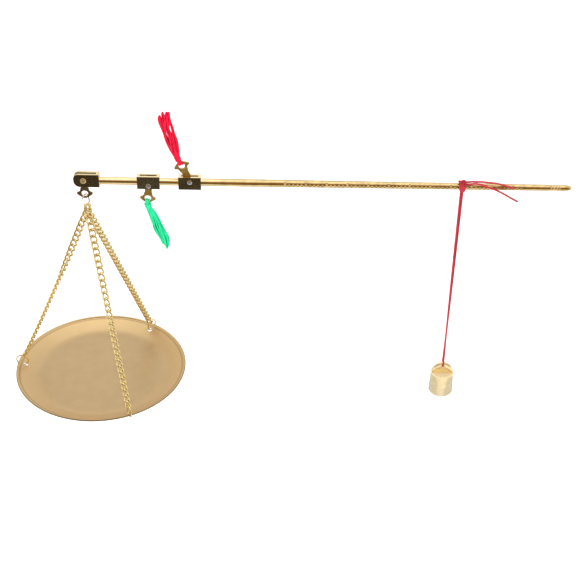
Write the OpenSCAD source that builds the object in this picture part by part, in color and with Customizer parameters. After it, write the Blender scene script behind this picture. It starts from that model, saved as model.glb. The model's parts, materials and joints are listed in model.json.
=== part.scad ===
// Hand-held steelyard balance: a brass beam with two fulcrums, a pan hung on three
// chains at the short end and a small weight hung on a cord from the long graduated arm.
// X runs along the beam towards its tip and Z is up. The origin is on the far fulcrum pin.

/* [Beam] */
// Length from the nose of the pan fitting to the tip of the beam
beam_len = 320; // [300:1:360]
// Diameter of the thick end of the beam rod
rod_d = 5; // [4.6:0.1:5.2]
// Diameter of the rod just before the tip
rod_end_d = 4.1; // [3.6:0.1:4.5]
// Distance from the far fulcrum pin to the near fulcrum pin
near_reach = 26.6; // [24:0.1:32]
// Distance from the far fulcrum pin to the pan pivot
pan_reach = 68.3; // [64:0.1:74]

/* [Fulcrum blocks] */
// Length of each fulcrum block
block_len = 14.5; // [13:0.5:16]
// Height of each fulcrum block
block_h = 8.8; // [8:0.2:10]
// Depth of the blocks and of the pan fitting, front to back
block_depth = 5; // [4.6:0.2:6]
// Height of the pan fitting's middle above the rod's axis
fitting_rise = 0.8; // [0:0.1:1]
// Width of the slots that the lugs swing in
slot_w = 1.6; // [1.5:0.1:1.8]
// Height of the pin in the far block above the rod's axis
far_pin_rise = 1; // [0.5:0.1:1.2]
// Depth of the pin in the near block below the rod's axis
near_pin_drop = 2.3; // [1.5:0.1:2.5]

/* [Lugs] */
// Thickness of the stamped lugs
lug_t = 1.2; // [1:0.1:1.3]
// Radius of the eye in each lug
eye_r = 2.2; // [1.9:0.1:2.3]
// Reach of the pan lug, from its pin to its eye
pan_lug_reach = 10.4; // [10:0.1:12]
// Reach of the near lug
near_lug_reach = 10.2; // [9.6:0.1:12]
// Reach of the far lug
far_lug_reach = 12; // [11:0.1:14]
// Lean of the near lug towards the pan
near_lug_lean = 6; // [0:1:10]
// Lean of the far lug towards the pan
far_lug_lean = 24; // [0:1:30]

/* [Pan] */
// Diameter of the pan over its rim
pan_d = 120; // [116:1:126]
// Drop from the pan pivot to the pan's rim
pan_drop = 152.2; // [149:0.2:160]
// Depth of the pan, outside
pan_depth = 6.5; // [6:0.1:8]
// Thickness of the pan's sheet
pan_t = 0.8; // [0.6:0.1:1]
// Links in each chain
links = 33; // [31:1:35]

/* [Weight] */
// Distance from the far fulcrum pin to the cord of the weight
weight_reach = 175.1; // [80:0.1:205]
// Drop from the rod's axis to the hole in the weight's ear
weight_drop = 146.5; // [120:0.1:160]
// Diameter of the weight at its foot
weight_d = 17.1; // [16:0.1:18]
// Height of the weight's body
weight_h = 16.6; // [15:0.1:18]
// Diameter of the cord
cord_d = 1.2; // [1:0.05:1.3]

/* [Hidden] */
$fn = 64;

GOLD = "#d8b25a";
DARK_GOLD = "#9a8040";
SATIN_GOLD = "#c4a474";
STEEL = "#b8b8bc";
RED = "#d8203a";
GREEN = "#18c878";

rod_r = rod_d / 2;
rod_z = -far_pin_rise;
nose_x = -74.6;
tip_x = nose_x + beam_len;
fitting_len = 16.5;
fitting_h = 9;
block_wall = 1.8;
spigot_r = 1.48;
spigot_len = 1.5;
spigot_play = 0.02;
pin_r = 1;
pin_play = 0.03;
lug_play = 0.06;
pin_head_r = 1.6;
pin_head_h = 0.45;
rivet_r = 1.1;
rivet_bore_r = 0.65;
rivet_head_r = 2.1;
rivet_head_h = 0.4;
near_pin_z = rod_z - near_pin_drop;
pan_pivot_z = rod_z + fitting_rise;

// Lug outline
neck_w = 4.5;
eye_rim = 1.1;
ear_x = 5.05;
ear_top = 0.8;
ear_foot = -0.5;
scallop_r = 2.3;

// Gathering link: a wire oval through the eye of the pan lug, turned out of the lug's plane
link_wire_r = 0.5;
link_arc_r = 2.6;
link_straight = 2.8;
link_turn = 55;
link_slack = 0.9;
pan_eye_z = pan_pivot_z - pan_lug_reach;
link_top_z = pan_eye_z - eye_r + link_wire_r + link_slack;
link_foot_z = link_top_z - 2 * link_arc_r - link_straight;
link_arc_z = link_foot_z + link_arc_r;

// Pan profile, from the middle outwards, below the plane of the rim
pan_r = pan_d / 2;
rim_z = pan_pivot_z - pan_drop;
bead_r = 0.75;
floor_r = 44;
floor_z = pan_t - pan_depth;
wall_r = pan_r - 1.6;
wall_z = -bead_r - 0.1;
hole_r = 1.6;
hole_at = pan_r - 5;
hole_z = -2.85;
wall_slope = 20;

// Wire rings through the pan's wall: centre out from the pan's middle and up from its rim
ring_r = 4.3;
ring_wire_r = 0.35;
ring_out = pan_r - 3;
ring_up = 0.9;

// Chains: bearing of each one's hole, and where its first link sits on the gathering link
LEFT = 177;
RIGHT = 57;
FRONT = -63;
LEFT_SEAT = -30;
RIGHT_SEAT = 44;
FRONT_SEAT = 6;
chain_wire = 0.8;
chain_w = 3.5;
chain_slack = 0.2;
seat_play = 0.25;
chain_lean = atan2(ring_out, -rim_z + link_foot_z);

// Weight
ear_t = 2.4;
ear_r = 6.9;
ear_hole_r = 1.15;
bight_r = 2.05;
weight_top_r = 8.05;
weight_hole_z = rod_z - weight_drop;
weight_rim_z = weight_hole_z - 5.7;
weight_recess = 0.8;
weight_lip = 0.8;
foot_chamfer = 0.5;
ear_above = 8;

// Cord hitch round the rod
cord_r = cord_d / 2;
hitch_r = rod_r + 0.12;
hitch_len = 4.6;
cord_top_z = rod_z - hitch_r - 2 * cord_r - 0.7;
tail_r = 0.6;
hitch_end = weight_reach + hitch_len / 2;

// Tassels and cord tails: routes of round points, and the radius at each point
GREEN_ROUTE = [[-28.1, -0.3, -17.2], [-27.9, -0.5, -19], [-26.8, -0.8, -21.5], [-25, -1.2, -25],
    [-23.7, -1.2, -29.5], [-22.2, -1.2, -34.2], [-20.1, -1.2, -39], [-18, -1.2, -44], [-16.4, -1.2, -50.5]];
GREEN_RADII = [1.3, 1.7, 2, 2.7, 2.9, 3, 3, 2.8, 1.8];
RED_ROUTE = [[-6.5, -0.3, 14.7], [-7.3, -0.3, 16.3], [-8.1, -0.3, 18.8], [-9.5, -0.3, 24],
    [-10.8, -0.3, 29], [-12.1, -0.3, 34], [-13.3, -0.3, 38], [-14.1, -0.3, 42.5], [-14.4, -0.3, 48.5]];
RED_RADII = [1.1, 1.6, 2.1, 3.4, 4.3, 4.5, 4.3, 3.8, 3.5];
UPPER_TAIL = [[hitch_end, 0, 2.24], [hitch_end + 1.4, 0, 2.24], [181, -0.1, 2.6], [184, -0.4, 2.7],
    [188, -0.8, 2.9], [192, -1.4, 2.8], [196, -2, 2.7], [200, -2.6, 2.1], [204, -3, 1.1],
    [207.4, -3.2, 0.1]];
LOWER_TAIL = [[hitch_end, -1.98, 1.54], [hitch_end + 1.4, -1.98, 1.54], [181, -2.3, 2.2],
    [184, -2.7, 2.5], [188, -3.2, 1.8], [192, -3.5, 0.4], [196, -3.9, -1], [201, -4.3, -3.4],
    [206, -4.7, -6.2], [211, -5, -8.9]];

function unit(v) = v / norm(v);
function bearing(a) = [cos(a), sin(a), 0];
function tangent(p, i) = unit(p[min(i + 1, len(p) - 1)] - p[max(i - 1, 0)]);
function ring_points(c, t, side, r, n) =
    let (u = unit(cross(side, t)), v = cross(t, u))
    [for (k = [0 : n - 1]) c + r * (cos(360 * k / n) * u + sin(360 * k / n) * v)];

// A closed tube with eight sides through the points of a route; side is never along the route
module tube(route, radii, side) {
    n = 8;
    m = len(route);
    points = [for (i = [0 : m - 1]) each ring_points(route[i], tangent(route, i), side, radii[i], n)];
    walls = [for (i = [0 : m - 2], k = [0 : n - 1])
        let (a = i * n + k, b = i * n + (k + 1) % n)
        each [[a, a + n, b + n], [a, b + n, b]]];
    foot = [for (k = [0 : n - 1]) k];
    head = [for (k = [n - 1 : -1 : 0]) (m - 1) * n + k];
    polyhedron(points = points, faces = concat([foot], walls, [head]), convexity = 4);
}

// A cylinder along X from x0 to x1
module bar(x0, x1, r) {
    translate([x0, 0, 0]) rotate([0, 90, 0]) cylinder(r = r, h = x1 - x0);
}

// A cylinder along Y, centred on the beam's middle plane
module cross_bar(r, depth) {
    rotate([90, 0, 0]) cylinder(r = r, h = depth, center = true);
}

module fulcrum_block(pin_z) {
    difference() {
        cube([block_len, block_depth, block_h], center = true);
        cube([block_len - 2 * block_wall, slot_w, block_h + 1], center = true);
        bar(-block_len, block_len, spigot_r + spigot_play);
        translate([0, 0, pin_z]) cross_bar(pin_r + pin_play, block_depth + 1);
    }
}

module solid_pin() {
    cross_bar(pin_r, block_depth);
    for (s = [0, 180])
        rotate([0, 0, s]) translate([0, -block_depth / 2, 0])
            rotate([90, 0, 0]) cylinder(r1 = pin_head_r, r2 = pin_head_r - 0.4, h = pin_head_h);
}

// Outline of a lug, with its pin hole at the origin and its eye below it
module lug_outline(reach, hole) {
    difference() {
        union() {
            circle(r = neck_w / 2);
            translate([-neck_w / 2, -reach]) square([neck_w, reach]);
            translate([0, -reach]) circle(r = eye_r + eye_rim);
            translate([0, -reach]) difference() {
                polygon([[-ear_x, ear_top], [-ear_x, ear_foot], [-2.3, -2.4], [2.3, -2.4],
                    [ear_x, ear_foot], [ear_x, ear_top], [neck_w / 2, 4.2], [-neck_w / 2, 4.2]]);
                for (s = [-1, 1]) translate([s * ear_x, ear_top + scallop_r]) circle(r = scallop_r);
            }
        }
        circle(r = hole);
        translate([0, -reach]) circle(r = eye_r);
    }
}

module lug(reach, hole) {
    rotate([90, 0, 0]) linear_extrude(height = lug_t, center = true) lug_outline(reach, hole);
}

module link_rod(x0, x1) {
    translate([0, 0, rod_z]) {
        bar(x0, x1, rod_r);
        bar(x0 - spigot_len, x1 + spigot_len, spigot_r);
    }
}

// One flat chain link in the XZ plane, its inside as long as the pitch and a little slack
module chain_link(pitch) {
    straight = pitch + chain_slack + 2 * chain_wire - chain_w;
    inside_w = chain_w - 2 * chain_wire;
    rotate([90, 0, 0]) linear_extrude(height = chain_wire, center = true) difference() {
        union() {
            square([chain_w, straight], center = true);
            for (s = [-1, 1]) translate([0, s * straight / 2]) circle(d = chain_w);
        }
        square([inside_w, straight], center = true);
        for (s = [-1, 1]) translate([0, s * straight / 2]) circle(d = inside_w);
    }
}

function seat_point(seat) =
    [-pan_reach, 0, link_arc_z] + link_arc_r * (sin(seat) * bearing(link_turn) + [0, 0, -cos(seat)]);
function ring_point(a) =
    [-pan_reach, 0, rim_z] + (ring_out - ring_r * sin(chain_lean)) * bearing(a)
    + [0, 0, ring_up + ring_r * cos(chain_lean)];

// A chain from its seat on the gathering link to its ring: each link is turned a
// quarter from the one before, and a little more, so that the ends face their wires
module chain(a, seat) {
    from = seat_point(seat);
    run = ring_point(a) - from;
    az = atan2(run.y, run.x);
    lean = atan2(norm([run.x, run.y]), -run.z);
    wire = cos(seat) * bearing(link_turn) + [0, 0, sin(seat)];
    across = [cos(lean) * cos(az), cos(lean) * sin(az), sin(lean)];
    start_roll = atan2(wire * across, wire * bearing(az + 90));
    first = (1 + chain_slack) / 2;
    pitch = (norm(run) + link_wire_r + ring_wire_r - chain_slack + 2 * seat_play) / links;
    half = (pitch + chain_slack) / 2;
    twist = (start_roll + 90 * links + 3600) % 180;
    turn = 90 - (twist > 90 ? twist - 180 : twist) / (links - 1);
    translate(from) rotate([0, 0, az]) rotate([0, -lean, 0])
        for (i = [0 : links - 1])
            translate([0, 0, -(half - link_wire_r - seat_play) - i * pitch])
                rotate([0, 0, -(start_roll + i * turn)]) chain_link(pitch);
}

module rim_ring(a) {
    translate([-pan_reach, 0, rim_z]) rotate([0, 0, a]) translate([ring_out, 0, ring_up])
        rotate([90, 0, 0]) rotate_extrude() translate([ring_r, 0]) circle(r = ring_wire_r);
}

module pan_fitting() {
    top_round = 3;
    foot_round = 4.2;
    half_h = fitting_h / 2;
    color(GOLD) translate([0, 0, pan_pivot_z]) difference() {
        rotate([90, 0, 0]) linear_extrude(height = block_depth, center = true) union() {
            translate([nose_x + foot_round, -half_h]) square([fitting_len - foot_round, fitting_h]);
            translate([nose_x + foot_round, foot_round - half_h]) circle(r = foot_round);
            translate([nose_x + top_round, half_h - top_round]) circle(r = top_round);
            translate([nose_x, foot_round - half_h]) square([foot_round, fitting_h - foot_round - top_round]);
            translate([nose_x + top_round, 0]) square([foot_round - top_round, half_h]);
        }
        translate([nose_x - 1, -slot_w / 2, -fitting_h])
            cube([fitting_len - block_wall + 1, slot_w, 2 * fitting_h]);
        translate([-pan_reach, 0, 0]) cross_bar(rivet_r + pin_play, block_depth + 1);
        translate([0, 0, -fitting_rise])
            bar(nose_x + fitting_len - block_wall - 0.2, nose_x + fitting_len + 1, spigot_r + spigot_play);
    }
}

module pan_pivot_rivet() {
    color(GOLD) translate([-pan_reach, 0, pan_pivot_z]) difference() {
        union() {
            cross_bar(rivet_r, block_depth);
            for (s = [-1, 1]) translate([0, s * (block_depth + rivet_head_h) / 2, 0])
                cross_bar(rivet_head_r, rivet_head_h);
        }
        cross_bar(rivet_bore_r, block_depth + 2);
    }
}

module pan_lug() {
    color(DARK_GOLD) translate([-pan_reach, 0, pan_pivot_z]) lug(pan_lug_reach, rivet_r + lug_play);
}

module outer_rod() {
    color(GOLD) link_rod(nose_x + fitting_len, -near_reach - block_len / 2);
}

module near_fulcrum_block() {
    color(GOLD) translate([-near_reach, 0, rod_z]) fulcrum_block(-near_pin_drop);
}

module near_fulcrum_pin() {
    color(STEEL) translate([-near_reach, 0, near_pin_z]) solid_pin();
}

module near_lug() {
    color(DARK_GOLD) translate([-near_reach, 0, near_pin_z]) rotate([0, near_lug_lean, 0])
        lug(near_lug_reach, pin_r + lug_play);
}

module green_tassel() {
    color(GREEN) tube(GREEN_ROUTE, GREEN_RADII, [0, 1, 0]);
}

module inner_rod() {
    color(GOLD) link_rod(block_len / 2 - near_reach, -block_len / 2);
}

module far_fulcrum_block() {
    color(GOLD) translate([0, 0, rod_z]) fulcrum_block(far_pin_rise);
}

module far_fulcrum_pin() {
    color(STEEL) solid_pin();
}

module far_lug() {
    color(DARK_GOLD) rotate([0, 180 - far_lug_lean, 0]) lug(far_lug_reach, pin_r + lug_play);
}

module red_tassel() {
    color(RED) tube(RED_ROUTE, RED_RADII, [0, 1, 0]);
}

// Outline of the long arm: radius across, distance along the beam up
module graduated_beam() {
    shoulder = block_len / 2;
    end_r = rod_end_d / 2;
    groove_pitch = 1.8;
    groove_w = 0.5;
    groove_deep = 0.35;
    grooves = 4;
    first_groove = tip_x - 14;
    neck_x = first_groove + grooves * groove_pitch;
    tip_r = 0.8;
    color(GOLD) translate([0, 0, rod_z]) rotate([0, 90, 0]) rotate_extrude() polygon(concat(
        [[0, shoulder - spigot_len], [spigot_r, shoulder - spigot_len], [spigot_r, shoulder],
            [rod_r, shoulder], [rod_r, 4 * shoulder], [end_r, first_groove - groove_w]],
        [for (i = [0 : grooves - 1]) let (x = first_groove + i * groove_pitch)
            each [[end_r, x], [end_r - groove_deep, x + groove_w], [end_r, x + 2 * groove_w]]],
        [for (a = [0 : 15 : 75])
            [tip_r + (end_r - tip_r) * cos(a), neck_x + (tip_x - neck_x - 0.4) * sin(a)]],
        [[tip_r, tip_x - 0.3], [tip_r - 0.3, tip_x], [0, tip_x]]
    ));
}

module gathering_link() {
    color(GOLD) translate([-pan_reach, 0, link_arc_z]) rotate([90, 0, link_turn]) {
        for (s = [-1, 1]) translate([s * link_arc_r, 0, 0]) rotate([-90, 0, 0])
            cylinder(r = link_wire_r, h = link_straight);
        for (end = [0, 1]) translate([0, end * link_straight, 0]) rotate([0, 0, 180 + 180 * end])
            rotate_extrude(angle = 180) translate([link_arc_r, 0]) circle(r = link_wire_r);
    }
}

module left_chain() {
    color(GOLD) chain(LEFT, LEFT_SEAT);
}

module right_chain() {
    color(GOLD) chain(RIGHT, RIGHT_SEAT);
}

module front_chain() {
    color(GOLD) chain(FRONT, FRONT_SEAT);
}

module left_rim_ring() {
    color(GOLD) rim_ring(LEFT);
}

module right_rim_ring() {
    color(GOLD) rim_ring(RIGHT);
}

module front_rim_ring() {
    color(GOLD) rim_ring(FRONT);
}

// Spun dish: flat floor, sloping wall and a rolled bead, with a hole for each ring
module pan() {
    color(SATIN_GOLD) translate([-pan_reach, 0, rim_z]) difference() {
        rotate_extrude() polygon(concat(
            [[0, floor_z], [floor_r, floor_z], [floor_r + 2.5, floor_z + 0.2],
                [floor_r + 5, floor_z + 0.8], [wall_r, wall_z]],
            [for (a = [165 : -30 : -135])
                [pan_r - bead_r * (1 - cos(a)), bead_r * (sin(a) - 1)]],
            [[wall_r + 0.2, wall_z - pan_t], [floor_r + 5.3, floor_z - pan_t + 0.8],
                [floor_r + 2.6, floor_z - pan_t + 0.2], [floor_r, -pan_depth], [0, -pan_depth]]
        ));
        for (a = [LEFT, RIGHT, FRONT])
            rotate([0, 0, a]) translate([hole_at, 0, hole_z]) rotate([0, -wall_slope, 0])
                cylinder(r = hole_r, h = 4, center = true);
    }
}

module beam_hitch() {
    color(RED) translate([weight_reach, 0, rod_z]) difference() {
        bar(-hitch_len / 2, hitch_len / 2, hitch_r + 2 * cord_r);
        bar(-hitch_len, hitch_len, hitch_r);
    }
}

module upper_cord_tail() {
    color(RED) tube(UPPER_TAIL, [for (p = UPPER_TAIL) tail_r], [0, 0, 1]);
}

module lower_cord_tail() {
    color(RED) tube(LOWER_TAIL, [for (p = LOWER_TAIL) tail_r], [0, 0, 1]);
}

// One doubled cord: down the front, through the ear's hole and up the back
module weight_cord() {
    bight_z = weight_hole_z + bight_r - 0.1;
    side = 0.7;
    route = concat(
        [for (t = [0 : 0.25 : 0.75])
            [weight_reach - side * (1 - t), -bight_r * t, cord_top_z + (bight_z - cord_top_z) * t]],
        [for (a = [0 : 18 : 180])
            [weight_reach, -bight_r * cos(a), bight_z - bight_r * sin(a)]],
        [for (t = [0.75 : -0.25 : 0])
            [weight_reach + side * (1 - t), bight_r * t, cord_top_z + (bight_z - cord_top_z) * t]]
    );
    color(RED) tube(route, [for (p = route) cord_r], [1, 0, 0]);
}

// Turned weight with a lip round its top and a flat round-topped ear across it
module weight() {
    foot_r = weight_d / 2;
    deck_z = weight_rim_z - weight_recess;
    foot_z = weight_rim_z - weight_h;
    ear_base = weight_hole_z + ear_above - ear_r - 5.7;
    color(GOLD) translate([weight_reach, 0, 0]) difference() {
        union() {
            rotate_extrude() polygon([[0, foot_z], [foot_r - foot_chamfer, foot_z],
                [foot_r, foot_z + foot_chamfer], [weight_top_r, weight_rim_z - 2],
                [weight_top_r + 0.2, weight_rim_z - 0.6], [weight_top_r, weight_rim_z],
                [weight_top_r - weight_lip, weight_rim_z], [weight_top_r - weight_lip, deck_z],
                [0, deck_z]]);
            rotate([90, 0, 0]) linear_extrude(height = ear_t, center = true) union() {
                translate([-ear_r, deck_z - 0.5]) square([2 * ear_r, ear_base - deck_z + 0.5]);
                translate([0, ear_base]) intersection() {
                    circle(r = ear_r);
                    translate([-ear_r, 0]) square([2 * ear_r, ear_r]);
                }
            }
        }
        translate([0, 0, weight_hole_z]) cross_bar(ear_hole_r, ear_t + 1);
    }
}

pan_fitting();
pan_pivot_rivet();
pan_lug();
outer_rod();
near_fulcrum_block();
near_fulcrum_pin();
near_lug();
green_tassel();
inner_rod();
far_fulcrum_block();
far_fulcrum_pin();
far_lug();
red_tassel();
graduated_beam();
gathering_link();
left_chain();
right_chain();
front_chain();
left_rim_ring();
right_rim_ring();
front_rim_ring();
pan();
beam_hitch();
upper_cord_tail();
lower_cord_tail();
weight_cord();
weight();
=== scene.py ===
import json
import math
import random

import bmesh
import bpy
import numpy as np
from mathutils import Matrix, Vector, noise

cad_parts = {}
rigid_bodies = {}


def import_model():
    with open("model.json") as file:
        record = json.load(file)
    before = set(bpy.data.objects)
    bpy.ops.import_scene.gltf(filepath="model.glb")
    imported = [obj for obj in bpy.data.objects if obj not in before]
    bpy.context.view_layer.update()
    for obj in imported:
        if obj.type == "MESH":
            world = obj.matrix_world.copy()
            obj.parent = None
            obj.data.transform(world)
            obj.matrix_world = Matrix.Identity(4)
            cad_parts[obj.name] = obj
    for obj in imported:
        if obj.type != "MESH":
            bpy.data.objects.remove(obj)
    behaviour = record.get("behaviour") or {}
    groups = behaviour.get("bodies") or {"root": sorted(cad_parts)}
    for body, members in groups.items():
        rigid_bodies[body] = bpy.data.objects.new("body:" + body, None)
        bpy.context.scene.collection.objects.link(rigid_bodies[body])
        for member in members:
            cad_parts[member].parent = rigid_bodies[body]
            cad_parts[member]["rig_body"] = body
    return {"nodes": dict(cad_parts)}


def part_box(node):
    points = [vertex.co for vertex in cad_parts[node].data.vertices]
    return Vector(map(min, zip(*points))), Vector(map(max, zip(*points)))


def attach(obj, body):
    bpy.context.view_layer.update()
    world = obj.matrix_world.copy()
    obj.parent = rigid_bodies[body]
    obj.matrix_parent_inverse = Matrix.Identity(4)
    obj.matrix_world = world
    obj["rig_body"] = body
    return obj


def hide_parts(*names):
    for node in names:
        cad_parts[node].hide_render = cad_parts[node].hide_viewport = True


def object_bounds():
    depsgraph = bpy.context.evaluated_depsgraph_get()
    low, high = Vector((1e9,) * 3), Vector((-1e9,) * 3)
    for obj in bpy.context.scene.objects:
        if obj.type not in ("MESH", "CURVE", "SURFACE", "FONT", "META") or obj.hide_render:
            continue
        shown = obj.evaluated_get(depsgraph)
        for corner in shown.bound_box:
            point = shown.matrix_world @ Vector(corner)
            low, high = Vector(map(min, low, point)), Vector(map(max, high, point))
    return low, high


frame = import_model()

MM = 0.001
TURN = 2 * math.pi
NODES = frame["nodes"]
CAD_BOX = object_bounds()


# ------------------------------------------------------------------ places in the frame

def middle(node):
    low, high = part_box(node)
    return (low + high) / 2


def long_axis(node):
    """Both ends of a node along its longest direction, lower end first."""
    points = np.array([v.co for v in NODES[node].data.vertices])
    mean = points.mean(0)
    direction = np.linalg.svd(points - mean, full_matrices=False)[2][0]
    direction *= math.copysign(1, direction[2])
    along = (points - mean) @ direction
    return Vector(mean + direction * along.min()), Vector(mean + direction * along.max())


def flat_normal(node):
    """The direction in which a flat node is thinnest, pointing to the front."""
    points = np.array([v.co for v in NODES[node].data.vertices])
    normal = np.linalg.svd(points - points.mean(0), full_matrices=False)[2][2]
    return Vector(normal * math.copysign(1, -normal[1]))


ROD = middle("inner_rod")
ROD_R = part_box("inner_rod")[1].z - ROD.z
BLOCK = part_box("far_fulcrum_block")
PAN_LOW, PAN_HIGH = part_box("pan")
PAN_CENTRE = Vector((middle("pan").x, middle("pan").y, PAN_HIGH.z))
PAN_R = (PAN_HIGH.x - PAN_LOW.x) / 2
HITCH = middle("beam_hitch")
CORD_D = 1.2 * MM
TAIL_D = 1.2 * MM
TOWARD_VIEWER = Vector((0, -0.82, 0.57))


# ------------------------------------------------------------------ mesh parts: (vertices, faces)

def carried_frames(path, closed=False):
    """A tangent and two cross directions at each point, carried along the path without twist."""
    count = len(path)
    tangents = []
    for i in range(count):
        ahead = path[(i + 1) % count] if closed else path[min(i + 1, count - 1)]
        behind = path[i - 1] if closed else path[max(i - 1, 0)]
        tangents.append((ahead - behind).normalized())
    side = tangents[0].orthogonal().normalized()
    sides = []
    for tangent in tangents + tangents[:1]:
        side = (side - tangent * side.dot(tangent)).normalized()
        sides.append(side)
    slip = math.atan2(sides[-1].cross(sides[0]).dot(tangents[0]), sides[-1].dot(sides[0])) if closed else 0
    frames = []
    for i, tangent in enumerate(tangents):
        side = Matrix.Rotation(slip * i / count, 3, tangent) @ sides[i]
        frames.append((tangent, side, tangent.cross(side)))
    return frames


def tube(path, radius, sides=8, closed=False, plies=0, lay=1.0):
    """A round tube along a path. With plies it is a twisted cord that turns once in each lay.
    radius is one number, or one for each point of the path."""
    radii = radius if hasattr(radius, "__len__") else [radius] * len(path)
    verts, faces = [], []
    run = 0.0
    for i, (_, side, up) in enumerate(carried_frames(path, closed)):
        run += (path[i] - path[i - 1]).length if i else 0.0
        for k in range(sides):
            angle = TURN * k / sides
            swell = 1 + 0.17 * math.cos(plies * (angle - TURN * run / lay)) if plies else 1
            verts.append(path[i] + radii[i] * swell * (math.cos(angle) * side + math.sin(angle) * up))
    rings = len(path) if closed else len(path) - 1
    for i in range(rings):
        a, b = i * sides, (i + 1) % len(path) * sides
        faces += [(a + k, a + (k + 1) % sides, b + (k + 1) % sides, b + k) for k in range(sides)]
    if not closed:
        faces += [tuple(reversed(range(sides))), tuple(range(len(verts) - sides, len(verts)))]
    return verts, faces


def lathe(profile, base, axis, segments=96, closed=False):
    """A solid turned about an axis. The profile is (distance along the axis, radius) pairs,
    and with closed it is an outline that joins up clear of the axis."""
    axis = Vector(axis).normalized()
    side = axis.orthogonal().normalized()
    other = axis.cross(side)
    verts, faces, rings = [], [], []
    for along, radius in profile:
        count = segments if radius > 1e-7 else 1
        rings.append(range(len(verts), len(verts) + count))
        for k in range(count):
            angle = TURN * k / segments
            verts.append(base + axis * along + radius * (math.cos(angle) * side + math.sin(angle) * other))
    for a, b in zip(rings, rings[1:] + rings[:1] if closed else rings[1:]):
        for k in range(segments):
            n = (k + 1) % segments
            loop = (a[k % len(a)], a[n % len(a)], b[n % len(b)], b[k % len(b)])
            faces.append(tuple(dict.fromkeys(loop)))
    return verts, faces


def placed(part, matrix):
    verts, faces = part
    return [matrix @ v for v in verts], faces


def smooth(route, step):
    """The route as a smooth curve through its points, with a point about every step metres."""
    ends = [2 * route[0] - route[1], *route, 2 * route[-1] - route[-2]]
    fine = []
    for a, b, c, d in zip(ends, ends[1:], ends[2:], ends[3:]):
        for t in (k / 12 for k in range(12)):
            fine.append(0.5 * (2 * b + (c - a) * t + (2 * a - 5 * b + 4 * c - d) * t ** 2
                               + (3 * b - a - 3 * c + d) * t ** 3))
    fine.append(route[-1])
    run = np.concatenate([[0], np.cumsum([(q - p).length for p, q in zip(fine, fine[1:])])])
    even = np.linspace(0, run[-1], max(2, round(run[-1] / step) + 1))
    table = np.array(fine)
    return [Vector(p) for p in zip(*(np.interp(even, run, table[:, axis]) for axis in range(3)))]


def length_of(path):
    return sum((b - a).length for a, b in zip(path, path[1:]))


def in_mm(rows):
    """Points given in millimetres, as vectors in metres."""
    return [Vector(row) * MM for row in rows]


# ------------------------------------------------------------------ pieces

def dress(obj, body, material, slot, *replaced):
    """Puts a piece in the scene: its finish, the body that it rides on and the nodes it stands for."""
    bpy.context.scene.collection.objects.link(obj)
    obj.data.materials.clear()
    obj.data.materials.append(material)
    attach(obj, body)
    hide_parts(*replaced)
    return obj


def soften(mesh, sharp=38):
    """Outward normals, and smooth shading except over edges sharper than sharp degrees."""
    bm = bmesh.new()
    bm.from_mesh(mesh)
    bmesh.ops.recalc_face_normals(bm, faces=bm.faces)
    bm.to_mesh(mesh)
    bm.free()
    mesh.shade_smooth()
    mesh.set_sharp_from_angle(angle=math.radians(sharp))


def piece(name, parts, body, material, slot, *replaced):
    """One mesh piece from several parts."""
    verts, faces = [], []
    for part_verts, part_faces in parts:
        faces += [tuple(i + len(verts) for i in face) for face in part_faces]
        verts += part_verts
    mesh = bpy.data.meshes.new(name)
    mesh.from_pydata(verts, [], faces)
    soften(mesh)
    return dress(bpy.data.objects.new(name, mesh), body, material, slot, *replaced)


def apply_modifiers(obj):
    graph = bpy.context.evaluated_depsgraph_get()
    bpy.context.view_layer.update()
    made = bpy.data.meshes.new_from_object(obj.evaluated_get(graph))
    obj.modifiers.clear()
    obj.data = made


def refined(name, node, material, slot, bevel):
    """The shape of a CAD node with its facets joined and its edges broken by a small bevel."""
    bm = bmesh.new()
    bm.from_mesh(NODES[node].data)
    bmesh.ops.remove_doubles(bm, verts=bm.verts, dist=0.002 * MM)
    bmesh.ops.dissolve_limit(bm, angle_limit=math.radians(0.6), verts=bm.verts, edges=bm.edges)
    mesh = bpy.data.meshes.new(name)
    bm.to_mesh(mesh)
    bm.free()
    mesh.shade_smooth()
    obj = dress(bpy.data.objects.new(name, mesh), NODES[node]["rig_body"], material, slot, node)
    edges = obj.modifiers.new("broken_edges", "BEVEL")
    edges.width = bevel
    edges.segments = 3
    edges.limit_method = "ANGLE"
    edges.angle_limit = math.radians(40)
    flats = obj.modifiers.new("true_flats", "WEIGHTED_NORMAL")
    flats.weight = 50
    apply_modifiers(obj)
    return obj


# ------------------------------------------------------------------ materials

def add(tree, kind, values=(), **settings):
    """A new node. A setting is a property, or an input by its name with _ for a space. A value that
    is another node's output is linked to the input, and values fill the inputs in order."""
    made = tree.nodes.new("ShaderNode" + kind)
    for key in [k for k in settings if hasattr(made, k)]:
        setattr(made, key, settings.pop(key))
    pairs = [(made.inputs[key.replace("_", " ")], value) for key, value in settings.items()]
    for socket, value in pairs + list(zip(made.inputs, values)):
        if isinstance(value, bpy.types.NodeSocket):
            tree.links.new(value, socket)
        else:
            socket.default_value = value
    return made


def ramp(tree, factor, stops, colours=False):
    """A colour ramp. Each stop is (place, grey), or (place, colour) with colours."""
    made = add(tree, "ValToRGB", Fac=factor)
    band = made.color_ramp.elements
    while len(band) < len(stops):
        band.new(0.5)
    for element, (place, value) in zip(band, stops):
        element.position = place
        element.color = (*value, 1) if colours else (value, value, value, 1)
    return made.outputs["Color"]


def new_material(name):
    material = bpy.data.materials.new(name)
    material.use_nodes = True
    return material, material.node_tree, material.node_tree.nodes["Principled BSDF"]


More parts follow.
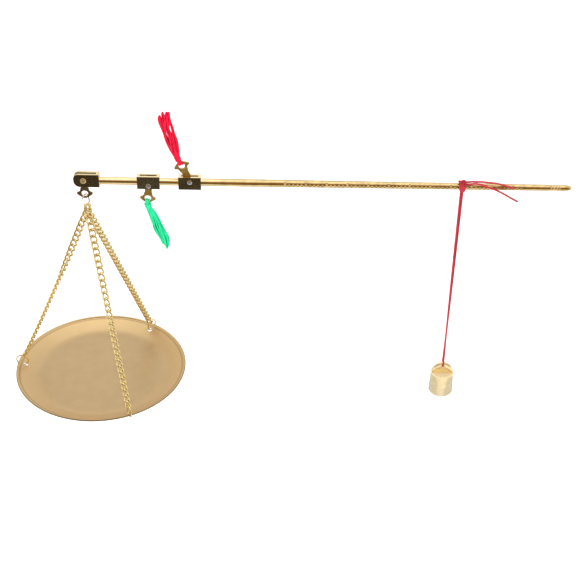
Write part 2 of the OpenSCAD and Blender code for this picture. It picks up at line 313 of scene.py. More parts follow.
def metal(name, colour, worn, roughness, scratch=(1, 1, 1), marks=0.15, cloud=0.35, grain=900):
    """Polished or satin metal: cloudy handling marks, tool scratches stretched across the scratch
    vector, and paler metal where an edge is worn."""
    material, tree, shader = new_material(name)
    here = add(tree, "TexCoord").outputs["Object"]
    clouds = add(tree, "TexNoise", Vector=here, Scale=grain / 4, Detail=4.0, Roughness=0.6).outputs["Fac"]
    drawn = add(tree, "VectorMath", (here, scratch), operation="MULTIPLY").outputs["Vector"]
    lines = add(tree, "TexNoise", Vector=drawn, Scale=grain * 4, Detail=3.0, Roughness=0.7).outputs["Fac"]
    patchy = ramp(tree, clouds, [(0.35, 0), (0.7, 1)])
    dull = tuple(c * (1 - cloud) for c in colour)
    body = add(tree, "Mix", data_type="RGBA")
    tree.links.new(patchy, body.inputs[0])
    for socket, value in zip(body.inputs[6:8], (dull, colour)):
        socket.default_value = (*value, 1)
    edge = ramp(tree, add(tree, "NewGeometry").outputs["Pointiness"], [(0.52, 0), (0.6, 1)])
    rubbed = add(tree, "Mix", data_type="RGBA")
    tree.links.new(edge, rubbed.inputs[0])
    tree.links.new(body.outputs[2], rubbed.inputs[6])
    rubbed.inputs[7].default_value = (*worn, 1)
    spread = add(tree, "Math", (lines, 0.12, roughness - 0.06), operation="MULTIPLY_ADD").outputs[0]
    smear = add(tree, "Math", (clouds, -0.1, 0.05), operation="MULTIPLY_ADD").outputs[0]
    rough = add(tree, "Math", (spread, smear), operation="ADD").outputs[0]
    relief = add(tree, "Bump", Strength=marks, Distance=0.05 * MM, Height=lines)
    tree.links.new(rubbed.outputs[2], shader.inputs["Base Color"])
    tree.links.new(rough, shader.inputs["Roughness"])
    tree.links.new(relief.outputs["Normal"], shader.inputs["Normal"])
    shader.inputs["Metallic"].default_value = 1.0
    return material


def yarn(name, colour, dye_and_hollow_shade, fibre=(1, 1, 1)):
    """Spun thread: fine fibres, a fuzzy sheen, uneven patches of darker dye, and painted shade in the hollows between
    the fibres.
    """
    material, tree, shader = new_material(name)
    here = add(tree, "TexCoord").outputs["Object"]
    drawn = add(tree, "VectorMath", (here, fibre), operation="MULTIPLY").outputs["Vector"]
    fibres = add(tree, "TexNoise", Vector=drawn, Scale=6000.0, Detail=2.0).outputs["Fac"]
    dye = add(tree, "TexNoise", Vector=here, Scale=260.0, Detail=3.0).outputs["Fac"]
    # Painted shade: half of the mix follows the fibre relief, so the colour darkens in the hollows of the bump; the
    # other half is random patches of dye.
    mixed = add(tree, "Math", (fibres, 0.5, 0.0), operation="MULTIPLY_ADD").outputs[0]
    mixed = add(tree, "Math", (dye, 0.5, mixed), operation="MULTIPLY_ADD").outputs[0]
    tint = ramp(tree, mixed, [(0.3, dye_and_hollow_shade), (0.55, colour)], colours=True)
    relief = add(tree, "Bump", Strength=0.5, Distance=0.06 * MM, Height=fibres)
    tree.links.new(tint, shader.inputs["Base Color"])
    tree.links.new(relief.outputs["Normal"], shader.inputs["Normal"])
    shader.inputs["Roughness"].default_value = 0.75
    shader.inputs["Specular IOR Level"].default_value = 0.12
    shader.inputs["Sheen Weight"].default_value = 0.03
    shader.inputs["Sheen Roughness"].default_value = 0.4
    return material


def satin_pan():
    """Satin brass of the spun pan: faint rings from spinning round its middle and a fine grain, a painted highlight
    that lightens the wall towards the rim, and painted shade and highlight lines on the rolled rim.
    """
    material = metal("satin_gold", (0.62, 0.44, 0.235), (0.72, 0.52, 0.3), 0.42,
                     marks=0.08, cloud=0.07, grain=500)
    tree = material.node_tree
    shader = tree.nodes["Principled BSDF"]
    here = add(tree, "TexCoord").outputs["Object"]
    level = add(tree, "VectorMath", (here, (1, 1, 0)), operation="MULTIPLY").outputs["Vector"]
    flat_centre = (PAN_CENTRE.x, PAN_CENTRE.y, 0)
    out = add(tree, "VectorMath", (level, flat_centre), operation="DISTANCE").outputs["Value"]
    rings = add(tree, "TexNoise", noise_dimensions="1D", W=out, Scale=1600.0, Detail=4.0).outputs["Fac"]
    share = add(tree, "MapRange", Value=out, From_Max=PAN_R).outputs["Result"]
    # Painted highlight: the base colour is lighter on the wall towards the rim.
    wall_highlight_mask = ramp(tree, share, [(0.7, 0), (0.8, 0.5), (0.95, 1)])
    painted_wall_highlight = add(tree, "Mix", data_type="RGBA")
    tree.links.new(wall_highlight_mask, painted_wall_highlight.inputs[0])
    tree.links.new(shader.inputs["Base Color"].links[0].from_socket, painted_wall_highlight.inputs[6])
    painted_wall_highlight.inputs[7].default_value = (0.71, 0.5, 0.25, 1)
    # Painted shade and highlight on the rolled rim: a dark line in the crease under the bead, a bright line on the
    # bead and a darker outer edge.
    rim = add(tree, "Mix", data_type="RGBA", blend_type="MULTIPLY")
    rim.inputs[0].default_value = 1.0
    tree.links.new(painted_wall_highlight.outputs[2], rim.inputs[6])
    painted_rim_light = ramp(tree, share, [(0.945, 1), (0.96, 0.62), (0.97, 1.0), (0.978, 1.15), (0.988, 0.95),
                                 (0.993, 0.5)])
    tree.links.new(painted_rim_light, rim.inputs[7])
    tree.links.new(rim.outputs[2], shader.inputs["Base Color"])
    turned = add(tree, "Bump", Strength=0.12, Distance=0.04 * MM, Height=rings)
    grain = shader.inputs["Normal"].links[0].from_socket
    tree.links.new(grain, turned.inputs["Normal"])
    tree.links.new(turned.outputs["Normal"], shader.inputs["Normal"])
    return material


def weight_gold():
    """Pale polished brass of the weight, left dull as it was cast on the faces that look up."""
    material = metal("weight_gold", (0.95, 0.78, 0.47), (1.0, 0.9, 0.62), 0.2, (0.05, 0.05, 1),
                     marks=0.25, cloud=0.15)
    tree = material.node_tree
    shader = tree.nodes["Principled BSDF"]
    upward = add(tree, "SeparateXYZ", Vector=add(tree, "NewGeometry").outputs["Normal"]).outputs["Z"]
    polished = ramp(tree, upward, [(0.8, 1), (0.95, 0.4)])
    dull = ramp(tree, upward, [(0.8, 0), (0.95, 0.5)])
    rough = add(tree, "Math", (shader.inputs["Roughness"].links[0].from_socket, dull), operation="ADD")
    tree.links.new(polished, shader.inputs["Metallic"])
    tree.links.new(rough.outputs[0], shader.inputs["Roughness"])
    return material


POLISHED = metal("polished_gold", (0.91, 0.66, 0.31), (1.0, 0.82, 0.48), 0.1, (0.05, 1, 1))
SATIN_PAN = satin_pan()
CHAIN_GOLD = metal("chain_gold", (1.0, 0.76, 0.32), (1.0, 0.88, 0.5), 0.25, marks=0.3, cloud=0.25)
LINK_GOLD = metal("link_gold", (0.93, 0.76, 0.48), (1.0, 0.9, 0.7), 0.16, marks=0.2)
WEIGHT_GOLD = weight_gold()
LUG_BRASS = metal("satin_brass", (0.68, 0.43, 0.11), (0.8, 0.58, 0.24), 0.42, (1, 1, 0.1), marks=0.3)
RIVET_GOLD = metal("rivet_gold", (1.0, 0.78, 0.44), (1.0, 0.88, 0.6), 0.22, marks=0.3)
DARK_BRASS = metal("dark_brass", (0.42, 0.28, 0.12), (0.7, 0.5, 0.25), 0.22, (0.1, 1, 1), marks=0.25)
STEEL = metal("steel", (0.62, 0.62, 0.65), (0.85, 0.85, 0.86), 0.32, marks=0.5)
# The second colour of each yarn is its darker dye and the painted shade in the hollows between the fibres.
RED_CORD = yarn("red_cord", (0.5, 0.04, 0.055), (0.25, 0.014, 0.022))
RED_THREAD = yarn("red_thread", (0.84, 0.012, 0.055), (0.5, 0.006, 0.03))
GREEN_THREAD = yarn("green_thread", (0.03, 0.74, 0.33), (0.015, 0.45, 0.19))


# ------------------------------------------------------------------ camera

def camera():
    data = bpy.data.cameras.new("camera")
    data.lens = 75.8
    data.sensor_width = 36.0
    eye = bpy.data.objects.new("camera", data)
    bpy.context.scene.collection.objects.link(eye)
    heading = Matrix.Rotation(math.radians(0.1), 4, "Z")
    pitch = Matrix.Rotation(math.radians(90 - 34.94), 4, "X")
    roll = Matrix.Rotation(math.radians(0.877), 4, "Z")
    eye.matrix_world = Matrix.Translation((0.0653, -0.6776, 0.3905)) @ heading @ pitch @ roll
    bpy.context.scene.camera = eye


# ------------------------------------------------------------------ cords and tassels

def weight_cord():
    """One cord, doubled: down the front, through the weight's ear and up the back."""
    low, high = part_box("weight_cord")
    bight_r = (high.y - low.y - CORD_D) / 2
    bight_z = low.z + CORD_D / 2 + bight_r
    top_z = high.z
    spread = 0.58 * MM
    x = HITCH.x
    strand = [(t / 24) for t in range(24)]
    front = [Vector((x - spread * (1 - t ** 3), -bight_r * t, top_z + (bight_z - top_z) * t)) for t in strand]
    turn = [Vector((x, -bight_r * math.cos(a), bight_z - bight_r * math.sin(a)))
            for a in (math.pi * k / 20 for k in range(21))]
    back = [Vector((2 * x - p.x, -p.y, p.z)) for p in reversed(front)]
    path = smooth(front + turn + back, 0.4 * MM)
    cord = piece("hanging_weight_cord", [tube(path, CORD_D / 2, 12, plies=3, lay=3.4 * MM)],
                 "hanging_cord", RED_CORD, "red_cord", "weight_cord")


def cord_tail(name, node, rows):
    """A loose end of the cord, which leaves the knot and is cut off bare."""
    path = smooth(in_mm(rows), 0.4 * MM)
    tail = piece(name, [tube(path, TAIL_D / 2, 12, plies=3, lay=3.4 * MM)],
                 "hitch", RED_CORD, "red_cord", node)


def hitch():
    """Four turns of cord round the rod, wide at the top and drawn together below, and the knot."""
    radius = ROD_R + CORD_D / 2 + 0.02 * MM
    top_spread = (1.8 * MM, 0.62 * MM, -0.55 * MM, -1.7 * MM)
    foot_spread = (0.85 * MM, 0.3 * MM, -0.3 * MM, -0.8 * MM)
    parts = []
    for top, foot, lift in zip(top_spread, foot_spread, (0.0, 0.35 * MM, 0.1 * MM, 0.3 * MM)):
        ring = []
        for a in (TURN * k / 48 for k in range(48)):
            x = foot + (top - foot) * (1 - math.cos(a)) / 2
            out = radius + lift * (1 + math.cos(a)) / 2
            ring.append(Vector((HITCH.x + x, out * math.sin(a), ROD.z - out * math.cos(a))))
        parts.append(tube(ring, CORD_D / 2, 12, closed=True, plies=3, lay=length_of(ring) / 5))
    place = Matrix.Translation((HITCH.x - 0.5 * MM, -1.4 * MM, ROD.z + ROD_R + 1.2 * MM))
    seat = place @ Matrix.Rotation(0.6, 4, "X")
    knot = [seat @ Vector((0.72 * MM * (math.sin(a) + 2 * math.sin(2 * a)),
                           0.5 * MM * (math.cos(a) - 2 * math.cos(2 * a)),
                           0.62 * MM * -math.sin(3 * a))) for a in (TURN * k / 96 for k in range(96))]
    parts.append(tube(knot, CORD_D / 2, 12, closed=True, plies=3, lay=length_of(knot) / 8))
    return piece("knotted_hitch", parts, "hitch", RED_CORD, "red_cord", "beam_hitch")


GOLDEN_ANGLE = 2.39996
FORK_FROM = 0.75


def tassel(name, node, lug, outward, rows, radii, threads, fork, slot, material, seed):
    """Yarn looped through the eye of a lug, bound under it and hanging in loose twisted threads, which
    part into two bundles past FORK_FROM of the length, by a fork in metres."""
    rng = random.Random(seed)
    body = NODES[node]["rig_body"]
    thread_r = 0.48 * MM
    route = smooth(in_mm(rows), 0.5 * MM)
    count = len(route)
    places = np.linspace(0, len(radii) - 1, count)
    spread = [float(r) * MM for r in np.interp(places, range(len(radii)), radii)]
    frames = carried_frames(route)
    parts = []
    for i in range(threads):
        share = ((i + 0.5) / threads) ** 0.5
        angle = i * GOLDEN_ANGLE + rng.uniform(-0.2, 0.2)
        cut = round(count * rng.uniform(0.88, 1.0)) if i > 2 else count
        offset = Vector((rng.uniform(0, 40), rng.uniform(0, 40), rng.uniform(0, 40)))
        path = []
        for k in range(cut):
            _, side, up = frames[k]
            free = k / count
            stray = noise.noise_vector(offset + Vector((0, 0, 3.2 * free))) * 1.3 * MM * min(1, 2 * free)
            reach = (spread[k] - thread_r) * share
            round_axis = angle + 1.1 * free
            outwards = math.cos(round_axis) * side + math.sin(round_axis) * up
            away = math.copysign(fork * max(0.0, free - FORK_FROM) / (1 - FORK_FROM), outwards.x + 0.3)
            path.append(route[k] + reach * outwards + stray + Vector((away, 0, 0)))
        taper = [thread_r * min(1, 0.35 + 0.22 * (cut - k)) for k in range(cut)]
        parts.append(tube(path, taper, 8, plies=2, lay=2.6 * MM))
    parts += eye_loops(lug, outward, route[0], thread_r)
    parts += binding(route, frames, spread, thread_r)
    made = piece(name, parts, body, material, slot, node)


def eye_loops(lug, outward, bound, thread_r):
    """Loops of yarn from the binding through the eye of a lug and back on its other side."""
    low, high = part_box(lug)
    half = (high.y - low.y) / 2 + thread_r + 0.05 * MM
    across = outward.cross(Vector((0, 1, 0)))
    eye = bound - outward * 3.1 * MM
    loops = []
    for shift in (-0.9 * MM, 0.0, 0.9 * MM):
        ring = []
        for a in (TURN * k / 32 for k in range(32)):
            place = outward * (1.55 * MM - 1.75 * MM * math.cos(a)) + Vector((0, half * math.sin(a), 0))
            ring.append(eye + place + across * shift * (1 + 0.3 * math.cos(a)))
        loops.append(tube(ring, thread_r, 8, closed=True, plies=2, lay=length_of(ring) / 3))
    return loops


def binding(route, frames, spread, thread_r):
    """Turns of yarn wound tightly round the head of a tassel."""
    wound = []
    turns = 3
    rows = 6
    for k in range(turns * 16 + 1):
        _, side, up = frames[min(rows, k * rows // (turns * 16))]
        along = route[0].lerp(route[rows], k / (turns * 16))
        angle = TURN * k / 16
        reach = spread[1] + thread_r * 0.6
        wound.append(along + reach * (math.cos(angle) * side + math.sin(angle) * up))
    return [tube(wound, thread_r * 1.1, 8, plies=2, lay=2.6 * MM)]


# Routes of the soft parts, in millimetres, as the CAD part gives them. The radii of a tassel are the
# visual model's own, at even steps along its route.
GREEN_ROUTE = [(-28.1, -0.3, -17.2), (-27.9, -0.5, -19), (-26.8, -0.8, -21.5), (-25, -1.2, -25),
               (-23.7, -1.2, -29.5), (-22.2, -1.2, -34.2), (-20.1, -1.2, -39), (-18, -1.2, -44), (-16.4, -1.2, -50.5)]
GREEN_RADII = [1.4, 2.1, 2.8, 3.4, 3.6, 3.6, 3.4, 2.9, 1.7]
RED_ROUTE = [(-6.5, -0.3, 14.7), (-7.3, -0.3, 16.3), (-8.1, -0.3, 18.8), (-9.5, -0.3, 24), (-10.8, -0.3, 29),
             (-12.1, -0.3, 34), (-13.3, -0.3, 38), (-14.1, -0.3, 42.5), (-14.4, -0.3, 48.5)]
RED_RADII = [1.2, 2.3, 3.5, 4.1, 4.3, 4.3, 4.1, 3.8, 3.6]
UPPER_TAIL = [(177.4, 0, 2.24), (178.8, 0, 2.24), (181, -0.1, 2.6), (184, -0.4, 2.7), (188, -0.8, 2.9),
              (192, -1.4, 2.8), (196, -2, 2.7), (200, -2.6, 2.1), (204, -3, 1.1), (207.4, -3.2, 0.1)]
LOWER_TAIL = [(177.4, -1.98, 1.54), (178.8, -1.98, 1.54), (181, -2.3, 2.2), (184, -2.7, 2.5), (188, -3.2, 1.8),
              (192, -3.5, 0.4), (196, -3.9, -1), (201, -4.3, -3.4), (206, -4.7, -6.2), (211, -5, -8.9)]


def soft_parts():
    weight_cord()
    cord_tail("upper_tail", "upper_cord_tail", UPPER_TAIL)
    cord_tail("lower_tail", "lower_cord_tail", LOWER_TAIL)
    hitch()
    foot, top = long_axis("near_lug")
    tassel("green_yarn_tassel", "green_tassel", "near_lug", (foot - top).normalized(),
           GREEN_ROUTE, GREEN_RADII, 32, 0.0, "green_thread", GREEN_THREAD, 4)
    foot, top = long_axis("far_lug")
    tassel("red_yarn_tassel", "red_tassel", "far_lug", (top - foot).normalized(),
           RED_ROUTE, RED_RADII, 27, 1.1 * MM, "red_thread", RED_THREAD, 11)


# ------------------------------------------------------------------ beam

def pin(name, node, material, slot, crush):
    """A rivet pin with two low heads that the hammer has flattened unevenly."""
    low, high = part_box(node)
    centre = (low + high) / 2
    head_r = (high.z - low.z) / 2
    half = (high.y - low.y) / 2
    shank_r = head_r - 0.6 * MM
    face = half - 0.45 * MM
    end = [(face, shank_r), (face, head_r), (half - 0.2 * MM, head_r - 0.02 * MM),
           (half - 0.06 * MM, head_r - 0.25 * MM), (half, head_r * 0.55), (half, head_r * 0.25), (half, 0)]
    profile = [(-along, radius) for along, radius in reversed(end)] + end
    verts, faces = lathe(profile, centre, (0, 1, 0), 32)
    for v in verts:
        if abs(v.y - centre.y) > face:
            v += noise.noise_vector(v * 1400) * crush
    piece(name, [(verts, faces)], NODES[node]["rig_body"], material, slot, node)


def pan_rivet():
    """Hollow rivet with both ends rolled over."""
    low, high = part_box("pan_pivot_rivet")
    centre = (low + high) / 2
    half = (high.y - low.y) / 2
    head_r = 0.93 * (high.z - low.z) / 2
    bore = 0.62 * MM
    shank_r = 1.1 * MM
    roll = (head_r - bore) / 2
    crown = [(half - 0.4 * MM, shank_r), (half - 0.4 * MM, head_r - 0.1 * MM)]
    crown += [(half - 0.4 * MM + 0.4 * MM * math.sin(a), bore + roll + roll * math.cos(a))
              for a in (math.pi * k / 12 for k in range(13))]
    profile = [(-along, radius) for along, radius in reversed(crown)] + crown
    piece("hollow_rivet", [lathe(profile, centre, (0, 1, 0), 40, closed=True)],
          "beam", RIVET_GOLD, "polished_gold", "pan_pivot_rivet")


SPIGOT_R = 1.48 * MM


def link_rod(name, node):
    """A short rod with a narrower spigot at each end."""
    low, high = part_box(node)
    spigot = 1.5 * MM
    ease = 0.12 * MM
    x0, x1 = low.x + spigot, high.x - spigot
    profile = [(low.x, 0), (low.x, SPIGOT_R), (x0, SPIGOT_R), (x0, ROD_R - ease), (x0 + ease, ROD_R)]
    profile += [(x1 - ease, ROD_R), (x1, ROD_R - ease), (x1, SPIGOT_R), (high.x, SPIGOT_R), (high.x, 0)]
    base = Vector((0, 0, ROD.z))
    piece(name, [lathe(profile, base, (1, 0, 0), 64)], "beam", POLISHED, "polished_gold", node)


# Graduations: V cuts across the front of the long arm, every fifth one longer
FIRST_MARK = 61.3 * MM
MARK_PITCH = 2.66 * MM
MARKS = 58
MARK_HALF = 0.62 * MM
MARK_DEPTH = 0.32 * MM


def mark_depth(x, angle):
    """How deep a graduation cuts at a place on the arm; angle is up from the front, in degrees."""
    number = round((x - FIRST_MARK) / MARK_PITCH)
    off = abs(x - FIRST_MARK - number * MARK_PITCH)
    if not 0 <= number < MARKS or off >= MARK_HALF:
        return 0.0
    reach = 38 if number % 5 == 0 else 19
    centre = 12 if number % 5 == 0 else -1
    across = max(0.0, 1 - ((angle - centre) / reach) ** 4)
    return MARK_DEPTH * (1 - off / MARK_HALF) * across


def graduated_arm():
    """The long arm: cylindrical, then tapering, with graduations, four grooves and a bullet tip."""
    low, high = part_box("graduated_beam")
    spigot_end = BLOCK[1].x
    taper_from = 4 * spigot_end
    end_r = 2.05 * MM
    groove_at = high.x - 14 * MM
    groove_pitch = 1.8 * MM
    groove_half = 0.5 * MM
    groove_deep = 0.35 * MM
    neck = groove_at + 4 * groove_pitch
    tip_r = 0.8 * MM
    outline = [(low.x, 0), (low.x, SPIGOT_R), (spigot_end, SPIGOT_R), (spigot_end, ROD_R),
               (taper_from, ROD_R), (groove_at - groove_half, end_r)]
    for i in range(4):
        x = groove_at + i * groove_pitch
        outline += [(x, end_r), (x + groove_half, end_r - groove_deep), (x + 2 * groove_half, end_r)]
    for a in (math.pi / 2 * k / 12 for k in range(12)):
        outline.append((neck + (high.x - neck - 0.4 * MM) * math.sin(a), tip_r + (end_r - tip_r) * math.cos(a)))
    outline += [(high.x - 0.2 * MM, tip_r * 0.8), (high.x - 0.05 * MM, tip_r * 0.5), (high.x, 0)]
    extra = [FIRST_MARK + i * MARK_PITCH + s * MARK_HALF for i in range(MARKS) for s in (-1, -0.5, 0, 0.5, 1)]
    known = [x for x, _ in outline]
    rows = outline[:5] + [(x, float(np.interp(x, known[4:6], [ROD_R, end_r]))) for x in extra] + outline[5:]
    angles = sorted({*range(-180, 180, 12), *range(-36, 56, 4)})
    verts, faces, rings = [], [], []
    for x, radius in rows:
        here = angles if radius > 0 else [0]
        rings.append(range(len(verts), len(verts) + len(here)))
        for angle in here:
            a = math.radians(angle)
            out = radius - mark_depth(x, angle) if radius > 0 else 0
            verts.append(Vector((x, -out * math.cos(a), ROD.z + out * math.sin(a))))
    for a, b in zip(rings, rings[1:]):
        for k in range(len(angles)):
            n = (k + 1) % len(angles)
            loop = (a[k % len(a)], a[n % len(a)], b[n % len(b)], b[k % len(b)])
            faces.append(tuple(dict.fromkeys(loop)))
    arm = piece("graduated_arm", [(verts, faces)], "beam", POLISHED, "polished_gold", "graduated_beam")
    arm.data.set_sharp_from_angle(angle=math.radians(22))


def beam_parts():
    refined("clevis_fitting", "pan_fitting", POLISHED, "polished_gold", 0.22 * MM)
    refined("near_block", "near_fulcrum_block", POLISHED, "polished_gold", 0.2 * MM)
    refined("far_block", "far_fulcrum_block", POLISHED, "polished_gold", 0.2 * MM)
    refined("pan_hanger_lug", "pan_lug", DARK_BRASS, "dark_brass", 0.14 * MM)
    refined("near_hanger_lug", "near_lug", LUG_BRASS, "satin_brass", 0.14 * MM)
    refined("far_hanger_lug", "far_lug", LUG_BRASS, "satin_brass", 0.14 * MM)
    pin("near_rivet_pin", "near_fulcrum_pin", STEEL, "steel", 0.14 * MM)
    pin("far_rivet_pin", "far_fulcrum_pin", STEEL, "steel", 0.14 * MM)
    pan_rivet()
    link_rod("outer_link_rod", "outer_rod")
    link_rod("inner_link_rod", "inner_rod")
    graduated_arm()


# ------------------------------------------------------------------ pan, chains and links

def wire_link(name, node, wire_r, material, lean=0.0):
    """A wire link or ring bent round until its ends meet, with the cut between them. The pull of the
    chains can lean it, and lean is how far its foot has moved along X."""
    low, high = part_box(node)
    centre = (low + high) / 2
    normal = flat_normal(node)
    up = Vector((0, 0, 1))
    across = normal.cross(up).normalized()
    tall = (high.z - low.z) / 2 - wire_r
    points = np.array([v.co for v in NODES[node].data.vertices])
    wide = float(np.abs((points - np.array(centre)) @ np.array(across)).max()) - wire_r
    straight = tall - wide
    cut = 0.03
    path = []
    for k in range(65):
        a = cut + (TURN - 2 * cut) * k / 64
        lift = math.copysign(straight, math.sin(a)) if straight > 0.1 * MM else 0.0
        rise = wide * math.sin(a) + lift
        aside = Vector((lean * (tall - rise) / (2 * tall), 0, 0))
        path.append(centre + across * wide * math.cos(a) + up * rise + aside)
    piece(name, [tube(path, wire_r, 16)], "pan_set", material, "chain_gold", node)


CHAIN_WIRE_R = 0.65 * MM
CURB_HALF_W = 2.0 * MM
CURB_RISE = 0.8 * MM
LINKS = 33
LINK_LEAN = 0.6 * MM


def curb_link(half_len):
    """A chain link twisted so that it lies flat among its neighbours."""
    turn = [TURN * k / 36 for k in range(36)]
    path = [Vector((CURB_HALF_W * math.cos(t), half_len * math.sin(t), CURB_RISE * math.sin(2 * t))) for t in turn]
    return tube(path, CHAIN_WIRE_R, 12, closed=True)


def hung_path(node, sag):
    """The line of a chain: down from the gathering link's foot beside the other chains, then out to its
    ring, with a sag in metres."""
    foot = long_axis(node)[0]
    link_low, link_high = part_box("gathering_link")
    out = Vector((foot.x - PAN_CENTRE.x, foot.y - PAN_CENTRE.y, 0)).normalized()
    hook = Vector(((link_low.x + link_high.x) / 2 + LINK_LEAN, 0, link_low.z + CHAIN_WIRE_R))
    together = 5.5 * MM
    parting = hook + out * 1.2 * MM - Vector((0, 0, together))
    rows = [hook + out * 0.5 * MM]
    for share in (k / 12 for k in range(13)):
        rows.append(parting.lerp(foot, share) - Vector((0, 0, 4 * sag * share * (1 - share))))
    return smooth(rows, 0.25 * MM)


def curb_chain(name, node, sag, rolls):
    """Curb chain along its hung path. Its twist is given as (share of the way down, roll in degrees)
    pairs, and a roll of 0 turns the links' flat side to the viewer."""
    path = hung_path(node, sag)
    pitch = (length_of(path) - 2 * CHAIN_WIRE_R) / LINKS
    link = curb_link(pitch / 2 + CHAIN_WIRE_R)
    last = len(path) - 1
    near = 6
    links = []
    for i in range(LINKS):
        at = round(last * (i + 0.5) / LINKS)
        down = (path[min(at + near, last)] - path[max(at - near, 0)]).normalized()
        face = (TOWARD_VIEWER - down * TOWARD_VIEWER.dot(down)).normalized()
        basis = Matrix((down.cross(face), down, face)).transposed().to_4x4()
        roll = float(np.interp(i / (LINKS - 1), *zip(*rolls)))
        spin = Matrix.Rotation(math.radians(roll), 4, "Y")
        links.append(placed(link, Matrix.Translation(path[at]) @ basis @ spin))
    piece(name, links, "pan_set", CHAIN_GOLD, "chain_gold", node)


def pan():
    """Spun dish with an eased corner, a sloping wall, a rolled rim and three punched holes."""
    sheet = 0.8 * MM
    bead = 0.75 * MM
    depth = PAN_HIGH.z - PAN_LOW.z
    floor_r = PAN_R - 16 * MM
    wall_r = PAN_R - 1.6 * MM
    inside = smooth([Vector((r, z, 0)) for r, z in (
        (floor_r - 3 * MM, sheet - depth), (floor_r, sheet - depth), (floor_r + 2.5 * MM, sheet - depth + 0.2 * MM),
        (floor_r + 5 * MM, sheet - depth + 0.8 * MM), ((floor_r + 5 * MM + wall_r) / 2, -3 * MM),
        (wall_r, -bead - 0.1 * MM))], 0.8 * MM)
    outside = [Vector((p.x + 0.28 * sheet, p.y - sheet, 0)) for p in reversed(inside)]
    outside[-1].x = inside[0].x
    rim = [(PAN_R - bead * (1 - math.cos(a)), bead * (math.sin(a) - 1))
           for a in (math.radians(d) for d in range(165, -140, -15))]
    outline = [(0, sheet - depth)] + [(floor_r * k / 8, sheet - depth) for k in range(1, 7)]
    outline += [(p.x, p.y) for p in inside] + rim + [(p.x, p.y) for p in outside]
    outline += [(floor_r * k / 8, -depth) for k in range(6, 0, -1)] + [(0, -depth)]
    turned = lathe([(z, r) for r, z in outline], PAN_CENTRE, (0, 0, 1), 288)
    dish = piece("spun_pan", [turned], "pan_set", SATIN_PAN, "satin_gold", "pan")
    cutters = []
    for ring in ("left_rim_ring", "right_rim_ring", "front_rim_ring"):
        out = middle(ring) - PAN_CENTRE
        out.z = 0
        out.normalize()
        place = PAN_CENTRE + out * (PAN_R - 5 * MM) - Vector((0, 0, 2.85 * MM))
        lean = (Vector((0, 0, 1)) - out * math.tan(math.radians(20))).normalized()
        verts, faces = lathe([(-2 * MM, 0), (-2 * MM, 1.6 * MM), (2 * MM, 1.6 * MM), (2 * MM, 0)], place, lean, 40)
        mesh = bpy.data.meshes.new("cutter")
        mesh.from_pydata(verts, [], faces)
        soften(mesh)
        cutter = bpy.data.objects.new("cutter", mesh)
        bpy.context.scene.collection.objects.link(cutter)
        cutters.append(cutter)
        hole = dish.modifiers.new("hole", "BOOLEAN")
        hole.operation = "DIFFERENCE"
        hole.solver = "EXACT"
        hole.object = cutter
    apply_modifiers(dish)
    for cutter in cutters:
        bpy.data.objects.remove(cutter)
    soften(dish.data, 30)


def pan_set():
    wire_link("gathering_wire_link", "gathering_link", 0.46 * MM, LINK_GOLD, LINK_LEAN)
    for side in ("left", "right", "front"):
        wire_link(side + "_wire_ring", side + "_rim_ring", 0.46 * MM, CHAIN_GOLD)
    curb_chain("left_curb_chain", "left_chain", 3.2 * MM,
               [(0, 60), (0.1, 10), (0.25, 10), (0.45, 70), (1, 80)])
    curb_chain("right_curb_chain", "right_chain", 0.0, [(0, -50), (0.12, 15), (0.3, 20), (1, 28)])
    curb_chain("front_curb_chain", "front_chain", 0.0, [(0, 0), (0.25, 5), (0.45, 35), (1, 48)])
    pan()


# ------------------------------------------------------------------ weight

EAR_STEPS = 96


def ear_outline(inset):
    """Outline of the weight's ear as (across, up) from its hole, on rays at even angles: a half disc
    on straight sides. It is drawn in by the inset."""
    radius = 6.9 * MM - inset
    centre_drop, foot_drop = 4.6 * MM, 9.2 * MM
    outline = []
    for a in (TURN * k / EAR_STEPS for k in range(EAR_STEPS)):
        c, s = math.cos(a), math.sin(a)
        reach = -centre_drop * s + math.sqrt(radius ** 2 - (centre_drop * c) ** 2)
        if reach * s < -centre_drop:
            reach = min(radius / max(abs(c), 1e-6), foot_drop / -s)
        outline.append((reach * c, reach * s))
    return outline


def weight_ear(hole):
    """The flat ear with eased edges, round its hole."""
    half, ease, hole_r = 1.2 * MM, 0.18 * MM, 1.15 * MM

    def circle(radius):
        return [(radius * math.cos(a), radius * math.sin(a))
                for a in (TURN * k / EAR_STEPS for k in range(EAR_STEPS))]

    shoulder = 0.6 * MM
    rings = [(circle(hole_r + ease), -half), (ear_outline(shoulder), -half), (ear_outline(ease / 2), ease - half),
             (ear_outline(0), 2 * ease - half), (ear_outline(0), half - 2 * ease),
             (ear_outline(ease / 2), half - ease), (ear_outline(shoulder), half), (circle(hole_r + ease), half),
             (circle(hole_r), half - ease), (circle(hole_r), ease - half)]
    verts = [hole + Vector((x, y, z)) for ring, y in rings for x, z in ring]
    faces = []
    for i in range(len(rings)):
        a, b = i * EAR_STEPS, (i + 1) % len(rings) * EAR_STEPS
        faces += [(a + k, a + (k + 1) % EAR_STEPS, b + (k + 1) % EAR_STEPS, b + k)
                  for k in range(EAR_STEPS)]
    return verts, faces


